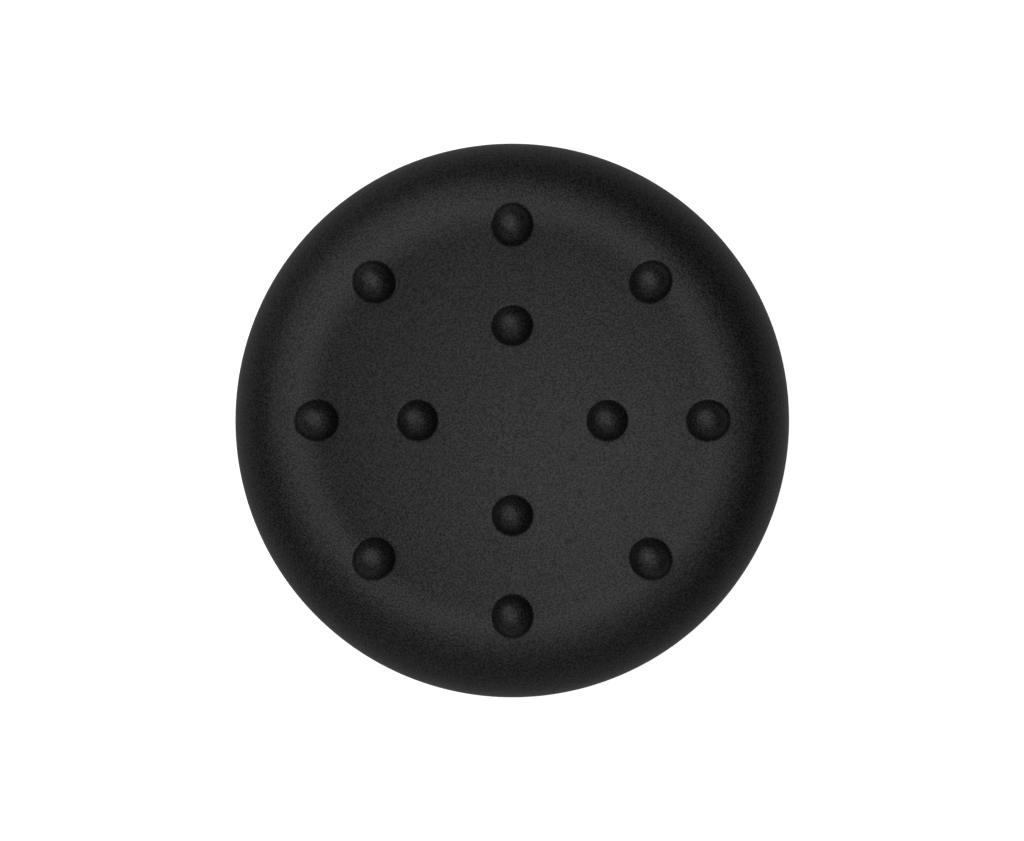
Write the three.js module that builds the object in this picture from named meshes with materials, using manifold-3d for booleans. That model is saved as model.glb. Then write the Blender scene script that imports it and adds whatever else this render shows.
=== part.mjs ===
// Thumb grip for a game controller: a soft silicone cap that is stretched over the head of a thumbstick.
// It is moulded in one piece. The top is a dished disc inside a round rim, with two rings of round nubs.
// The underside is a hollow for the stick's head, with a narrower mouth and a lip that hooks under the head.
// Millimetres, +Z up. The origin is the centre of the flat ring that the cap stands on.

import * as THREE from "three";
import { mergeVertices } from "three/addons/utils/BufferGeometryUtils.js";
import Module from "manifold-3d";

// The stick's head, and how much narrower the hollow is so that the silicone grips it.
const HEAD_RADIUS = 9.25;
const HEAD_THICKNESS = 4.3;
const STRETCH = 0.15;

// Walls
const SIDE_WALL = 1.4;
const ROOF_WALL = 1.5;
const LIP_THICKNESS = 1.4;
const MOUTH_RADIUS = 6.8;
const SIDE_TAPER = 0.2;

// Round edges
const RIM_RADIUS = 2.56;
const FOOT_RADIUS = 1.7;
const MOUTH_EDGE_RADIUS = 0.45;
const HOLLOW_FLOOR_FILLET = 0.4;
const HOLLOW_ROOF_FILLET = 0.8;

// Dish and nubs
const DISH_DEPTH = 1.08;
const NUB_RADIUS = 0.78;
const NUB_SINK = 0.1;
const NUB_ROOT = 0.35;
const OUTER_NUBS = 8;
const OUTER_NUB_INSET = 0.56;
const OUTER_NUB_OVAL = 1.06;
const INNER_NUBS = 4;
const INNER_NUB_RING = 3.6;

// Facets: the steps of each turn and of each arc
const TURN_STEPS = 72;
const RIM_STEPS = 15;
const DISH_STEPS = 7;
const FOOT_STEPS = 6;
const MOUTH_EDGE_STEPS = 3;
const FLOOR_FILLET_STEPS = 3;
const ROOF_FILLET_STEPS = 4;
const NUB_TURN_STEPS = 20;
const NUB_RISE_STEPS = 5;
const MERGE_DISTANCE = 1e-4;

// Sizes that follow from those above
const hollowRadius = HEAD_RADIUS - STRETCH;
const hollowTop = LIP_THICKNESS + HEAD_THICKNESS;
const dishFloor = hollowTop + ROOF_WALL;
const crestHeight = dishFloor + DISH_DEPTH;
const outerRadius = hollowRadius + SIDE_WALL;
const footOuterRadius = outerRadius - SIDE_TAPER;
const crestRadius = outerRadius - RIM_RADIUS;
const rimCentreHeight = crestHeight - RIM_RADIUS;

// The dish is a sphere that meets the round rim without a corner.
const dishRadius = (crestRadius ** 2 + DISH_DEPTH ** 2) / (2 * DISH_DEPTH) - RIM_RADIUS;
const dishCentreHeight = dishFloor + dishRadius;
const meetAngle = Math.asin(crestRadius / (dishRadius + RIM_RADIUS));
const meetRadius = dishRadius * Math.sin(meetAngle);

// Points of an arc in the half-plane of radius and height. Angles are in radians, from outwards to upwards.
function arc(centreRadius, centreHeight, radius, from, to, steps) {
  const points = [];
  for (let i = 0; i <= steps; i++) {
    const angle = from + ((to - from) * i) / steps;
    const across = centreRadius + radius * Math.cos(angle);
    points.push(new THREE.Vector2(across, centreHeight + radius * Math.sin(angle)));
  }
  return points;
}

// Height of the top surface at a distance from the axis.
function topHeight(fromAxis) {
  if (fromAxis <= meetRadius) return dishCentreHeight - Math.sqrt(dishRadius ** 2 - fromAxis ** 2);
  return rimCentreHeight + Math.sqrt(RIM_RADIUS ** 2 - (fromAxis - crestRadius) ** 2);
}

// Section of the cap: along the hollow's roof, down its wall, round the lip, up the side and over the top.
function capSection() {
  const quarter = Math.PI / 2;
  const roofCorner = hollowRadius - HOLLOW_ROOF_FILLET;
  const roofCornerHeight = hollowTop - HOLLOW_ROOF_FILLET;
  const floorCorner = hollowRadius - HOLLOW_FLOOR_FILLET;
  const floorCornerHeight = LIP_THICKNESS + HOLLOW_FLOOR_FILLET;
  const mouthCorner = MOUTH_RADIUS + MOUTH_EDGE_RADIUS;
  const lipCornerHeight = LIP_THICKNESS - MOUTH_EDGE_RADIUS;
  const footCorner = footOuterRadius - FOOT_RADIUS;
  const points = [
    new THREE.Vector2(0, hollowTop),
    ...arc(roofCorner, roofCornerHeight, HOLLOW_ROOF_FILLET, quarter, 0, ROOF_FILLET_STEPS),
    ...arc(floorCorner, floorCornerHeight, HOLLOW_FLOOR_FILLET, 0, -quarter, FLOOR_FILLET_STEPS),
    ...arc(mouthCorner, lipCornerHeight, MOUTH_EDGE_RADIUS, quarter, 2 * quarter, MOUTH_EDGE_STEPS),
    ...arc(mouthCorner, MOUTH_EDGE_RADIUS, MOUTH_EDGE_RADIUS, 2 * quarter, 3 * quarter, MOUTH_EDGE_STEPS),
    ...arc(footCorner, FOOT_RADIUS, FOOT_RADIUS, -quarter, 0, FOOT_STEPS),
    ...arc(crestRadius, rimCentreHeight, RIM_RADIUS, 0, quarter + meetAngle, RIM_STEPS),
    ...arc(0, dishCentreHeight, dishRadius, meetAngle - quarter, -quarter, DISH_STEPS).slice(1),
  ];
  points.at(-1).x = 0;
  return points;
}

// Section of a nub: a hemisphere on a short round root, about the nub's own centre.
function nubSection() {
  return [
    new THREE.Vector2(0, -NUB_ROOT),
    new THREE.Vector2(NUB_RADIUS, -NUB_ROOT),
    ...arc(0, 0, NUB_RADIUS, 0, Math.PI / 2, NUB_RISE_STEPS).slice(0, -1),
    new THREE.Vector2(0, NUB_RADIUS),
  ];
}

// A section turned about +Z.
function turned(section, steps) {
  return new THREE.LatheGeometry(section, steps).rotateX(Math.PI / 2);
}

const wasm = await Module();
wasm.setup();

function solidOf(geometry) {
  const bare = geometry.clone();
  bare.deleteAttribute("normal");
  bare.deleteAttribute("uv");
  const merged = mergeVertices(bare, MERGE_DISTANCE);
  const vertProperties = merged.attributes.position.array;
  const triVerts = new Uint32Array(merged.index.array);
  return new wasm.Manifold(new wasm.Mesh({ numProp: 3, vertProperties, triVerts }));
}

function geometryOf(solid) {
  const { numVert, numProp, vertProperties, triVerts } = solid.getMesh();
  const positions = new Float32Array(numVert * 3);
  for (let i = 0; i < numVert; i++) {
    positions.set(vertProperties.subarray(i * numProp, i * numProp + 3), i * 3);
  }
  const geometry = new THREE.BufferGeometry();
  geometry.setAttribute("position", new THREE.BufferAttribute(positions, 3));
  geometry.setIndex(new THREE.BufferAttribute(triVerts, 1));
  geometry.computeVertexNormals();
  return geometry;
}

// One ring of nubs, each seated on the top surface. A nub is oval times as long outwards as it is wide.
function nubRing(count, ringRadius, oval) {
  const nubs = [];
  for (let i = 0; i < count; i++) {
    const angle = (2 * Math.PI * i) / count;
    const geometry = turned(nubSection(), NUB_TURN_STEPS);
    geometry.scale(oval, 1, 1);
    geometry.rotateZ(angle);
    geometry.translate(
      ringRadius * Math.cos(angle),
      ringRadius * Math.sin(angle),
      topHeight(ringRadius) - NUB_SINK,
    );
    nubs.push(solidOf(geometry));
  }
  return nubs;
}

function silicone() {
  return new THREE.MeshStandardMaterial({ color: 0x2b2b2b, roughness: 0.62, metalness: 0 });
}

function makeCap() {
  let solid = solidOf(turned(capSection(), TURN_STEPS));
  const nubs = [
    ...nubRing(OUTER_NUBS, crestRadius - OUTER_NUB_INSET, OUTER_NUB_OVAL),
    ...nubRing(INNER_NUBS, INNER_NUB_RING, 1),
  ];
  for (const nub of nubs) solid = solid.add(nub);
  const cap = new THREE.Mesh(geometryOf(solid), silicone());
  cap.name = "silicone_cap";
  return cap;
}

const thumbGrip = new THREE.Group();
thumbGrip.add(makeCap());

export default thumbGrip;
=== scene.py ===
# Thumb grip for a game controller: one moulded cap of black silicone, seen from straight above.
# The cap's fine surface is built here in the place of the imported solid, with the same sizes.

import math

import bpy
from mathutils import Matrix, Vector
from mathutils.geometry import delaunay_2d_cdt


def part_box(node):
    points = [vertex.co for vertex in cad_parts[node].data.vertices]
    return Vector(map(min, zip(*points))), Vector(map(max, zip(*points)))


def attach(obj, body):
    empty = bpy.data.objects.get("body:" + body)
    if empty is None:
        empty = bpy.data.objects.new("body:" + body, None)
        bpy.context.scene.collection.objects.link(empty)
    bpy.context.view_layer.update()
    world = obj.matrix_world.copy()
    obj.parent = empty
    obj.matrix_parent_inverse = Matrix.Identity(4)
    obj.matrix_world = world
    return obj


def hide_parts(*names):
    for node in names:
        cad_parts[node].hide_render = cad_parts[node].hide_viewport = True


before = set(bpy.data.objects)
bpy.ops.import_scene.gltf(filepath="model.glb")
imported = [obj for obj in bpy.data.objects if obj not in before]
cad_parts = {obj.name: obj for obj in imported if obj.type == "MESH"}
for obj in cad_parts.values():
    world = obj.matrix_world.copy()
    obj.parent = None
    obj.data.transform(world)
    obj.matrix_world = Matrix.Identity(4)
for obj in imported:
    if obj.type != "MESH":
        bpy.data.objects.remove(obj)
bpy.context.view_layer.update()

MM = 0.001

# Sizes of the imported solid, in millimetres. Its radius and the height of its nubs come from the frame.
CAP_NODE = "silicone_cap"
_, cap_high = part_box(CAP_NODE)
outer_radius = cap_high.x / MM
nub_top = cap_high.z / MM
RIM_RADIUS = 2.56
FOOT_RADIUS = 1.7
SIDE_TAPER = 0.2
SIDE_WALL = 1.4
ROOF_WALL = 1.5
LIP_THICKNESS = 1.4
MOUTH_RADIUS = 6.8
MOUTH_EDGE_RADIUS = 0.45
HOLLOW_FLOOR_FILLET = 0.4
HOLLOW_ROOF_FILLET = 0.8
DISH_DEPTH = 1.08
NUB_RADIUS = 0.78
NUB_SINK = 0.1
OUTER_NUBS = 8
OUTER_NUB_INSET = 0.56
OUTER_NUB_OVAL = 1.06
INNER_NUBS = 4
INNER_NUB_RING = 3.6

# Fine forms that only this surface has: a fillet round each nub, whose dome is slimmer by some of it and a
# little fuller than a ball (2 is a ball), and a bead along the mould's parting line
NUB_FILLET = 0.11
NUB_SLIMMING = 0.036
NUB_FULLNESS = 2.1
BEAD_HEIGHT = 0.03
BEAD_WIDTH = 0.09
BEAD_BELOW_RIM = 0.35

# Mesh, with its lengths in millimetres. An apron is the border of top surface round a nub, and the patch is
# the top out to the shoulder. A bead's steps are counted on each side of its middle.
PATCH_RADIUS = 9.0
DISH_SPACING = 0.24
NUB_APRON = 0.2
NUB_APRON_STEPS = 2
NUB_TURN_STEPS = 64
NUB_RISE_STEPS = 14
NUB_FILLET_STEPS = 8
TURN_STEPS = 256
SHOULDER_STEPS = 18
BEAD_SIDE_STEPS = 4
SIDE_STEP = 0.5
FOOT_STEPS = 14
FOOT_RING_STEPS = 6
MOUTH_EDGE_STEPS = 7
LIP_STEPS = 5
FLOOR_FILLET_STEPS = 6
HOLLOW_WALL_STEPS = 8
ROOF_FILLET_STEPS = 8
ROOF_STEPS = 12

# Precision: the step along which a slope is taken and the distance that makes two points one, in
# millimetres, and how often a range is halved to find where a fillet touches
SLOPE_STEP = 0.01
SAME_POINT = 1e-7
HALVINGS = 40

# Finish of the silicone. Noise scales are per metre, and depths are in metres.
SILICONE_IOR = 1.41
SILICONE_TONE = 0.01
SPECULAR_LEVEL = 0.5
OUTSIDE_ROUGHNESS, OUTSIDE_GRAIN = 0.46, 0.000012
HOLLOW_ROUGHNESS, HOLLOW_GRAIN = 0.4, 0.00001
NOISE_RANGE = (0.35, 0.65)
SPECK_SCALE, SPECK_DETAIL = 15600, 0
SPECK_TONE = 0.86
SPECK_GLOSS = 0.09
GRAIN_SCALE, GRAIN_DETAIL = 12500, 1
CLOUD_SCALE, CLOUD_DETAIL = 260, 3
CLOUD_ROUGHNESS = 0.01

# Studio, in metres and degrees
COVE_RADIUS = 0.7
COVE_BEND = 0.3
COVE_HEIGHT = 1.2
COVE_GAP = 0.00002
COVE_TURN_STEPS = 96
COVE_BEND_STEPS = 16
COVE_TONE = 0.8
COVE_ROUGHNESS = 0.9
COVE_GLOW = 0.85
LIGHT_DISTANCE = 0.5
GROUND_GLOW = 0.314
FILL_GLOW = 0.25
FILL_AZIMUTH, FILL_ELEVATION = 260.5, 24.7
FILL_SPREAD, FILL_SOFTNESS = 45, 5
HORIZON_SOFTNESS = 0.02

# Camera: lens and sensor in millimetres, clipping in metres, and the cap's centre and radius in pixels of
# the photograph
LENS, SENSOR_WIDTH = 300, 36
CLIP_START, CLIP_END = 0.01, 10
PHOTO_WIDTH, PHOTO_HEIGHT = 1024, 841
CAP_CENTRE_X, CAP_CENTRE_Y = 512.26, 420.48
CAP_RADIUS_PIXELS = 276.9

# Sizes that follow from those above
rim_centre_height = nub_top - NUB_RADIUS + NUB_SINK - math.sqrt(RIM_RADIUS**2 - OUTER_NUB_INSET**2)
crest_height = rim_centre_height + RIM_RADIUS
crest_radius = outer_radius - RIM_RADIUS
dish_floor = crest_height - DISH_DEPTH
dish_radius = (crest_radius**2 + DISH_DEPTH**2) / (2 * DISH_DEPTH) - RIM_RADIUS
dish_centre_height = dish_floor + dish_radius
meet_radius = dish_radius * crest_radius / (dish_radius + RIM_RADIUS)
hollow_top = dish_floor - ROOF_WALL
hollow_radius = outer_radius - SIDE_WALL
dome_radius = NUB_RADIUS - NUB_SLIMMING
apron_radius = NUB_RADIUS + NUB_FILLET + NUB_APRON


def top_height(from_axis):
    """Height of the top surface at a distance from the axis, without the nubs."""
    if from_axis <= meet_radius:
        return dish_centre_height - math.sqrt(dish_radius**2 - from_axis**2)
    return rim_centre_height + math.sqrt(RIM_RADIUS**2 - (from_axis - crest_radius) ** 2)


def arc(centre_radius, centre_height, radius, start, end, steps):
    """Points of an arc in the half-plane of radius and height. Angles are in degrees from outwards."""
    points = []
    for i in range(steps + 1):
        angle = math.radians(start + (end - start) * i / steps)
        across = centre_radius + radius * math.cos(angle)
        points.append((across, centre_height + radius * math.sin(angle)))
    return points


def line(start, end, steps):
    """Points between two points, without the ends."""
    points = []
    for i in range(1, steps):
        share = i / steps
        across = start[0] + (end[0] - start[0]) * share
        points.append((across, start[1] + (end[1] - start[1]) * share))
    return points


def side_section():
    """The tapered side, from the rim down to the foot, with the parting bead round it."""
    bead_centre = rim_centre_height - BEAD_BELOW_RIM
    bead_steps = range(BEAD_SIDE_STEPS, -BEAD_SIDE_STEPS - 1, -1)
    heights = [bead_centre + BEAD_WIDTH * k / BEAD_SIDE_STEPS for k in bead_steps]
    while heights[-1] - SIDE_STEP > FOOT_RADIUS:
        heights.append(heights[-1] - SIDE_STEP)
    points = []
    for height in heights:
        taper = SIDE_TAPER * (rim_centre_height - height) / (rim_centre_height - FOOT_RADIUS)
        from_bead = (height - bead_centre) / (BEAD_WIDTH / 2)
        bead = BEAD_HEIGHT * math.exp(-(from_bead**2))
        points.append((outer_radius - taper + bead, height))
    return points


def under_section():
    """The section from the patch's edge down the side, round the lip and along the hollow's roof."""
    patch_angle = math.degrees(math.acos((PATCH_RADIUS - crest_radius) / RIM_RADIUS))
    foot_corner = outer_radius - SIDE_TAPER - FOOT_RADIUS
    mouth_corner = MOUTH_RADIUS + MOUTH_EDGE_RADIUS
    lip_corner_height = LIP_THICKNESS - MOUTH_EDGE_RADIUS
    floor_corner = hollow_radius - HOLLOW_FLOOR_FILLET
    floor_corner_height = LIP_THICKNESS + HOLLOW_FLOOR_FILLET
    roof_corner = hollow_radius - HOLLOW_ROOF_FILLET
    roof_corner_height = hollow_top - HOLLOW_ROOF_FILLET
    return [
        *arc(crest_radius, rim_centre_height, RIM_RADIUS, patch_angle, 0, SHOULDER_STEPS)[1:],
        *side_section(),
        *arc(foot_corner, FOOT_RADIUS, FOOT_RADIUS, 0, -90, FOOT_STEPS),
        *line((foot_corner, 0), (mouth_corner, 0), FOOT_RING_STEPS),
        *arc(mouth_corner, MOUTH_EDGE_RADIUS, MOUTH_EDGE_RADIUS, 270, 180, MOUTH_EDGE_STEPS),
        *arc(mouth_corner, lip_corner_height, MOUTH_EDGE_RADIUS, 180, 90, MOUTH_EDGE_STEPS),
        *line((mouth_corner, LIP_THICKNESS), (floor_corner, LIP_THICKNESS), LIP_STEPS),
        *arc(floor_corner, floor_corner_height, HOLLOW_FLOOR_FILLET, -90, 0, FLOOR_FILLET_STEPS),
        *line((hollow_radius, floor_corner_height), (hollow_radius, roof_corner_height), HOLLOW_WALL_STEPS),
        *arc(roof_corner, roof_corner_height, HOLLOW_ROOF_FILLET, 0, 90, ROOF_FILLET_STEPS),
        *line((roof_corner, hollow_top), (0, hollow_top), ROOF_STEPS),
    ]


class Nub:
    """One nub's place. It is oval times as long along the cap's radius as it is wide."""

    def __init__(self, ring, angle, oval):
        self.out = Vector((math.cos(angle), math.sin(angle)))
        self.across = Vector((-self.out.y, self.out.x))
        self.centre = self.out * ring
        self.oval = oval

    def spot(self, turn, distance):
        """The point in plan at a direction and a distance from the nub's axis."""
        along = self.oval * distance * math.cos(turn)
        return self.centre + self.out * along + self.across * (distance * math.sin(turn))

    def ground(self, turn, distance):
        """Height of the cap's top surface below that point."""
        return top_height(self.spot(turn, distance).length)

    def slope(self, turn, distance):
        """Slope of the top surface there, as an angle."""
        rise = self.ground(turn, distance + SLOPE_STEP) - self.ground(turn, distance - SLOPE_STEP)
        return math.atan2(rise, 2 * SLOPE_STEP)


def make_nubs():
    """The nubs of both rings. Each ring has one on +X."""
    rings = [
        (OUTER_NUBS, crest_radius - OUTER_NUB_INSET, OUTER_NUB_OVAL),
        (INNER_NUBS, INNER_NUB_RING, 1.0),
    ]
    nubs = []
    for count, ring, oval in rings:
        for i in range(count):
            nubs.append(Nub(ring, 2 * math.pi * i / count, oval))
    return nubs


def dome(angle):
    """A nub's dome at an angle above its widest place: the point, and the way that the surface faces."""
    along, up = math.cos(angle), math.sin(angle)
    power = 2 / NUB_FULLNESS
    point = Vector((along**power, up**power)) * dome_radius
    facing = Vector((along ** (2 - power), up ** (2 - power))).normalized()
    return point, facing


def fillet_ball(nub, turn, centre_height):
    """The ball that rolls round a nub's foot: the dome's angle where it touches, and its centre."""

    def resting_height(distance):
        """Height of the ball's centre where it rests on the ground."""
        return nub.ground(turn, distance) + NUB_FILLET / math.cos(nub.slope(turn, distance))

    low, high = 0.0, math.pi / 2
    for _ in range(HALVINGS):
        angle = (low + high) / 2
        point, facing = dome(angle)
        ball = point + facing * NUB_FILLET
        if centre_height + ball.y < resting_height(ball.x):
            low = angle
        else:
            high = angle
    return low, ball.x, resting_height(ball.x)


def nub_profile(nub, turn):
    """Points from a nub's pole down to its apron's edge, as (distance from the nub's axis, height)."""
    centre_height = top_height(nub.centre.length) + NUB_SLIMMING - NUB_SINK
    touch, ball_distance, ball_height = fillet_ball(nub, turn, centre_height)
    points = []

    # The dome, and the short upright wall below it where the ground falls away
    rise = (math.pi / 2 - touch) * dome_radius
    wall = max(0.0, centre_height - ball_height)
    for i in range(NUB_RISE_STEPS):
        along = (rise + wall) * i / (NUB_RISE_STEPS - 1)
        point, _ = dome(max(touch, math.pi / 2 - along / dome_radius))
        points.append((point.x, centre_height + point.y - max(0.0, along - rise)))

    # The fillet, from where its ball touches the dome to where it rests on the ground
    _, facing = dome(touch)
    start = math.atan2(facing.y, facing.x) + math.pi
    end = nub.slope(turn, ball_distance) + 1.5 * math.pi
    for i in range(1, NUB_FILLET_STEPS + 1):
        angle = start + (end - start) * i / NUB_FILLET_STEPS
        distance = ball_distance + NUB_FILLET * math.cos(angle)
        points.append((distance, ball_height + NUB_FILLET * math.sin(angle)))

    # The apron, which lies on the ground
    last = points[-1][0]
    for i in range(1, NUB_APRON_STEPS + 1):
        distance = last + (apron_radius - last) * i / NUB_APRON_STEPS
        points.append((distance, nub.ground(turn, distance)))
    return points


class Skin:
    """Vertices in metres and faces of the cap's surface. Every ring runs counter-clockwise from above."""

    def __init__(self):
        self.vertices = []
        self.faces = []
        self.in_hollow = []

    def add(self, x, y, z):
        """A vertex given in millimetres."""
        self.vertices.append((x * MM, y * MM, z * MM))
        return len(self.vertices) - 1

    def ring(self, radius, height):
        """A ring of vertices round the cap's axis."""
        angles = [2 * math.pi * k / TURN_STEPS for k in range(TURN_STEPS)]
        return [self.add(radius * math.cos(a), radius * math.sin(a), height) for a in angles]

    def face(self, corners, in_hollow=False):
        self.faces.append(corners)
        self.in_hollow.append(in_hollow)

    def strip(self, lower, upper, in_hollow=False):
        """Faces between two rings, which face outwards where the first ring is the lower one."""
        count = len(lower)
        for i in range(count):
            j = (i + 1) % count
            self.face((lower[i], lower[j], upper[j], upper[i]), in_hollow)


def add_nub(skin, nub):
    """One nub with its fillet and apron. Returns the ring at the apron's edge."""
    turns = [2 * math.pi * k / NUB_TURN_STEPS for k in range(NUB_TURN_STEPS)]
    profiles = [nub_profile(nub, turn) for turn in turns]
    pole = skin.add(nub.centre.x, nub.centre.y, profiles[0][0][1])
    rings = []
    for step in range(1, len(profiles[0])):
        ring = []
        for turn, profile in zip(turns, profiles):
            distance, height = profile[step]
            spot = nub.spot(turn, distance)
            ring.append(skin.add(spot.x, spot.y, height))
        rings.append(ring)
    for k in range(NUB_TURN_STEPS):
        skin.face((pole, rings[0][k], rings[0][(k + 1) % NUB_TURN_STEPS]))
    for upper, lower in zip(rings, rings[1:]):
        skin.strip(lower, upper)
    return rings[-1]


def free_points(nubs):
    """Points of the patch, clear of the aprons. They lie on rings, each second one turned by half a step."""
    clear = OUTER_NUB_OVAL * apron_radius + DISH_SPACING / 2
    points = []
    rings = int(PATCH_RADIUS / DISH_SPACING)
    for i in range(rings):
        radius = i * PATCH_RADIUS / rings
        count = max(1, round(2 * math.pi * radius / DISH_SPACING))
        for k in range(count):
            angle = 2 * math.pi * (k + 0.5 * (i % 2)) / count
            spot = Vector((radius * math.cos(angle), radius * math.sin(angle)))
            if all((spot - nub.centre).length > clear for nub in nubs):
                points.append(spot)
    return points


def add_top(skin, nubs, aprons, edge):
    """The top surface between the nubs' aprons and the patch's edge."""
    known, constraints = [], []
    for loop in [edge, *aprons]:
        start, count = len(known), len(loop)
        known += loop
        constraints += [(start + i, start + (i + 1) % count) for i in range(count)]
    flat = [Vector(skin.vertices[v][:2]) / MM for v in known]
    for spot in free_points(nubs):
        known.append(skin.add(spot.x, spot.y, top_height(spot.length)))
        flat.append(spot)
    nub_of = {vertex: i for i, apron in enumerate(aprons) for vertex in apron}

    # Output type 0 gives every triangle inside the edge, also those under the nubs, which are left out
    _, _, triangles, origins, _, _ = delaunay_2d_cdt(flat, constraints, [], 0, SAME_POINT)
    for triangle in triangles:
        corners = tuple(known[origins[v][0]] for v in triangle)
        first, second, third = (nub_of.get(v) for v in corners)
        under_nub = first is not None and first == second == third
        if not under_nub:
            skin.face(corners)


def add_under(skin, edge):
    """The side, the lip and the hollow, from the patch's edge to the middle of the hollow's roof."""
    above = edge
    in_hollow = False
    for radius, height in under_section():
        below = skin.ring(radius, height)
        in_hollow = in_hollow or (height >= LIP_THICKNESS and radius < hollow_radius)
        skin.strip(below, above, in_hollow)
        above = below
    middle = skin.add(0, 0, hollow_top)
    for k in range(TURN_STEPS):
        skin.face((above[k], middle, above[(k + 1) % TURN_STEPS]), in_hollow)


def add_object(name, vertices, faces, materials):
    """A new object in the scene: a smooth mesh with its materials."""
    mesh = bpy.data.meshes.new(name)
    mesh.from_pydata(vertices, [], faces)
    for polygon in mesh.polygons:
        polygon.use_smooth = True
    for material in materials:
        mesh.materials.append(material)
    added = bpy.data.objects.new(name, mesh)
    bpy.context.scene.collection.objects.link(added)
    return added


def make_cap():
    """The whole cap as one closed mesh, with its second material in the hollow."""
    skin = Skin()
    nubs = make_nubs()
    aprons = [add_nub(skin, nub) for nub in nubs]
    edge = skin.ring(PATCH_RADIUS, top_height(PATCH_RADIUS))
    add_top(skin, nubs, aprons, edge)
    add_under(skin, edge)
    materials = [
        silicone("silicone_outside", OUTSIDE_ROUGHNESS, OUTSIDE_GRAIN),
        silicone("silicone_hollow", HOLLOW_ROUGHNESS, HOLLOW_GRAIN),
    ]
    cap = add_object("cap_skin", skin.vertices, skin.faces, materials)
    for polygon, in_hollow in zip(cap.data.polygons, skin.in_hollow):
        polygon.material_index = 1 if in_hollow else 0
    return cap


class Wiring:
    """Adds nodes to a material or to the world."""

    def __init__(self, owner):
        owner.use_nodes = True
        self.nodes = owner.node_tree.nodes
        self.links = owner.node_tree.links

    def fill(self, node, inputs):
        """Sets each input, or links it where the value is another node's output."""
        for name, value in inputs.items():
            if isinstance(value, bpy.types.NodeSocket):
                self.links.new(value, node.inputs[name])
            else:
                node.inputs[name].default_value = value

    def add(self, kind, inputs, output, **settings):
        """A new node, of which one output is returned."""
        node = self.nodes.new(kind)
        for name, value in settings.items():
            setattr(node, name, value)
        self.fill(node, inputs)
        return node.outputs[output]

    def noise(self, place, scale, detail):
        inputs = {"Vector": place, "Scale": scale, "Detail": detail}
        return self.add("ShaderNodeTexNoise", inputs, "Fac")

    def ramp(self, value, start, end, low, high):
        """Goes from low to high as the value goes from start to end."""
        inputs = {"Value": value, "From Min": start, "From Max": end, "To Min": low, "To Max": high}
        return self.add("ShaderNodeMapRange", inputs, "Result")

    def mix(self, factor, first, second, data_type):
        inputs = {"Factor": factor, "A": first, "B": second}
        return self.add("ShaderNodeMix", inputs, "Result", data_type=data_type)


def grey(tone):
    return (tone, tone, tone, 1)


def silicone(name, roughness, grain_depth):
    """Black moulded silicone: fine specks of colour and gloss, a slight grain and faint clouds of gloss."""
    material = bpy.data.materials.new(name)
    wiring = Wiring(material)
    place = wiring.add("ShaderNodeTexCoord", {}, "Object")
    speck = wiring.noise(place, SPECK_SCALE, SPECK_DETAIL)
    cloud = wiring.noise(place, CLOUD_SCALE, CLOUD_DETAIL)
    grain = wiring.noise(place, GRAIN_SCALE, GRAIN_DETAIL)
    dark, pale = grey(SILICONE_TONE * (1 - SPECK_TONE)), grey(SILICONE_TONE * (1 + SPECK_TONE))
    specular_range = (SPECULAR_LEVEL - SPECK_GLOSS, SPECULAR_LEVEL + SPECK_GLOSS)
    rough_range = (roughness - CLOUD_ROUGHNESS, roughness + CLOUD_ROUGHNESS)
    bump = {"Height": grain, "Strength": 1.0, "Distance": grain_depth}
    shader = {
        "Base Color": wiring.mix(wiring.ramp(speck, *NOISE_RANGE, 0, 1), dark, pale, "RGBA"),
        "Specular IOR Level": wiring.ramp(speck, *NOISE_RANGE, *specular_range),
        "Roughness": wiring.ramp(cloud, *NOISE_RANGE, *rough_range),
        "Normal": wiring.add("ShaderNodeBump", bump, "Normal"),
        "IOR": SILICONE_IOR,
    }
    wiring.fill(wiring.nodes["Principled BSDF"], shader)
    return material


def white_paper():
    """Matt white paper with a glow of its own, so that it stays pale far from the lights."""
    material = bpy.data.materials.new("white_paper")
    wiring = Wiring(material)
    shader = {
        "Base Color": grey(COVE_TONE),
        "Roughness": COVE_ROUGHNESS,
        "Specular IOR Level": 0.0,
        "Emission Color": grey(1),
        "Emission Strength": COVE_GLOW,
    }
    wiring.fill(wiring.nodes["Principled BSDF"], shader)
    return material


def make_cove():
    """A plain white floor, a hair below the cap, that bends up into a wall. Only the camera sees it."""
    bend = arc(COVE_RADIUS - COVE_BEND, COVE_BEND, COVE_BEND, -90, 0, COVE_BEND_STEPS)
    profile = [*bend, (COVE_RADIUS, COVE_HEIGHT)]
    vertices = [(0.0, 0.0, 0.0)]
    for across, height in profile:
        for k in range(COVE_TURN_STEPS):
            angle = 2 * math.pi * k / COVE_TURN_STEPS
            vertices.append((across * math.cos(angle), across * math.sin(angle), height))
    faces = []
    for k in range(COVE_TURN_STEPS):
        after = (k + 1) % COVE_TURN_STEPS
        faces.append((0, 1 + k, 1 + after))
        for i in range(len(profile) - 1):
            inner = 1 + i * COVE_TURN_STEPS
            outer = inner + COVE_TURN_STEPS
            faces.append((inner + k, outer + k, outer + after, inner + after))
    cove = add_object("cove", vertices, faces, [white_paper()])
    cove.location.z = -COVE_GAP
    cove.visible_glossy = False
    cove.visible_diffuse = False
    cove.visible_shadow = False
    return cove


def direction(azimuth, elevation):
    """A unit vector, from angles in degrees."""
    azimuth, elevation = math.radians(azimuth), math.radians(elevation)
    level = math.cos(elevation)
    return Vector((level * math.cos(azimuth), level * math.sin(azimuth), math.sin(elevation)))


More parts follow.
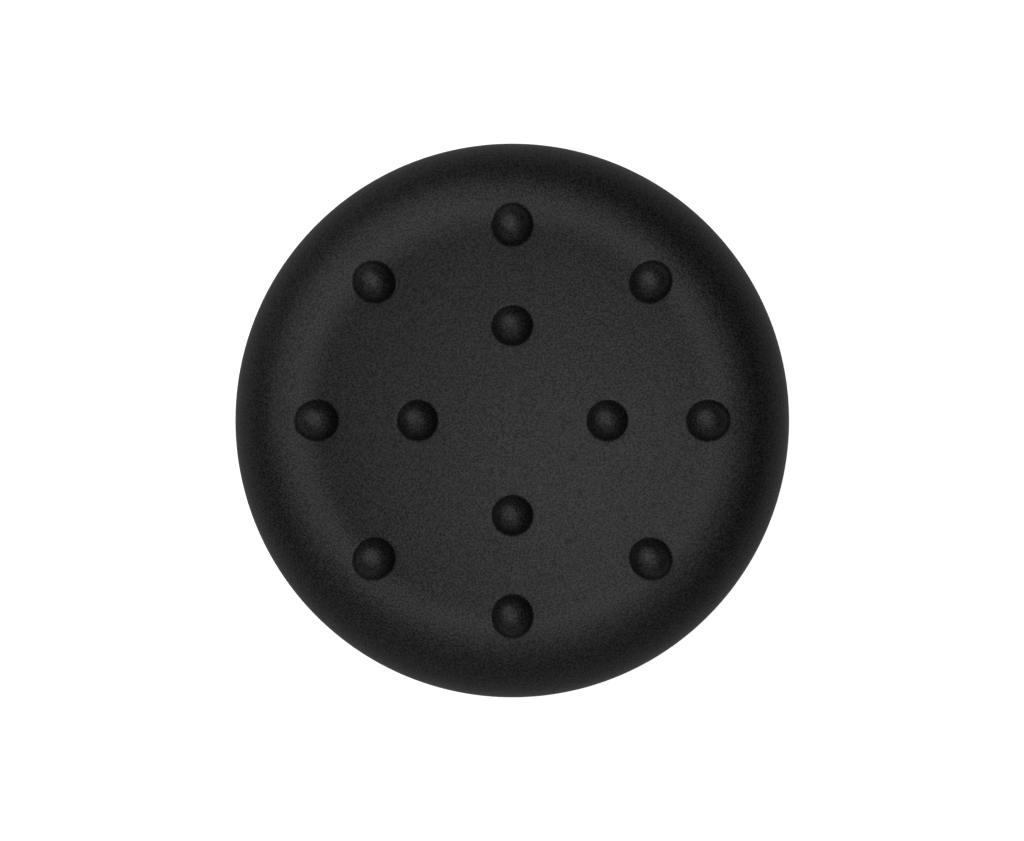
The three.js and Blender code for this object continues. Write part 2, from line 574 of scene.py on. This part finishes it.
def disc_light(name, azimuth, elevation, spread, radiance):
    """A soft round light. Seen from the cap, it covers a cone with the half-angle spread."""
    towards = direction(azimuth, elevation)
    radius = LIGHT_DISTANCE * math.tan(math.radians(spread))
    area = math.pi * radius**2
    data = bpy.data.lights.new(name, "AREA")
    data.shape = "DISK"
    data.size = 2 * radius
    data.energy = math.pi * radiance * area
    light = bpy.data.objects.new(name, data)
    light.location = towards * LIGHT_DISTANCE + Vector((0, 0, crest_height * MM))
    light.rotation_mode = "QUATERNION"
    light.rotation_quaternion = towards.to_track_quat("Z", "Y")
    light.visible_camera = False
    bpy.context.scene.collection.objects.link(light)


def make_world():
    """The floor's dim glow from below, and above it a dark room with a wide soft glow from one side."""
    world = bpy.data.worlds.new("studio")
    bpy.context.scene.world = world
    wiring = Wiring(world)
    view = wiring.add("ShaderNodeTexCoord", {}, "Generated")

    # The inputs of this node share one name, so they are set by number
    dot = wiring.nodes.new("ShaderNodeVectorMath")
    dot.operation = "DOT_PRODUCT"
    dot.inputs[1].default_value = direction(FILL_AZIMUTH, FILL_ELEVATION)
    wiring.links.new(view, dot.inputs[0])

    dark_edge = math.cos(math.radians(FILL_SPREAD + FILL_SOFTNESS))
    bright_edge = math.cos(math.radians(FILL_SPREAD - FILL_SOFTNESS))
    room = wiring.ramp(dot.outputs["Value"], dark_edge, bright_edge, 0, FILL_GLOW)
    height = wiring.add("ShaderNodeSeparateXYZ", {"Vector": view}, "Z")
    above = wiring.ramp(height, -HORIZON_SOFTNESS, HORIZON_SOFTNESS, 0, 1)
    strength = wiring.mix(above, GROUND_GLOW, room, "FLOAT")
    wiring.fill(wiring.nodes["Background"], {"Color": grey(1), "Strength": strength})


def make_camera():
    """A long lens straight above, framed so that the cap has the photograph's place and size."""
    data = bpy.data.cameras.new("camera")
    data.lens = LENS
    data.sensor_width = SENSOR_WIDTH
    data.clip_start, data.clip_end = CLIP_START, CLIP_END
    pixel = outer_radius * MM / CAP_RADIUS_PIXELS
    distance = PHOTO_WIDTH * pixel * LENS / SENSOR_WIDTH
    camera = bpy.data.objects.new("camera", data)
    camera.location = (
        (PHOTO_WIDTH / 2 - CAP_CENTRE_X) * pixel,
        (CAP_CENTRE_Y - PHOTO_HEIGHT / 2) * pixel,
        rim_centre_height * MM + distance,
    )
    bpy.context.scene.collection.objects.link(camera)
    bpy.context.scene.camera = camera


make_camera()
make_world()
disc_light("overhead", azimuth=320, elevation=79, spread=29.7, radiance=0.76)
disc_light("key", azimuth=135.7, elevation=59, spread=34.9, radiance=1.26)
make_cove()

cap = make_cap()
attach(cap, "root")
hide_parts(CAP_NODE)

bpy.context.scene.view_settings.view_transform = "Standard"
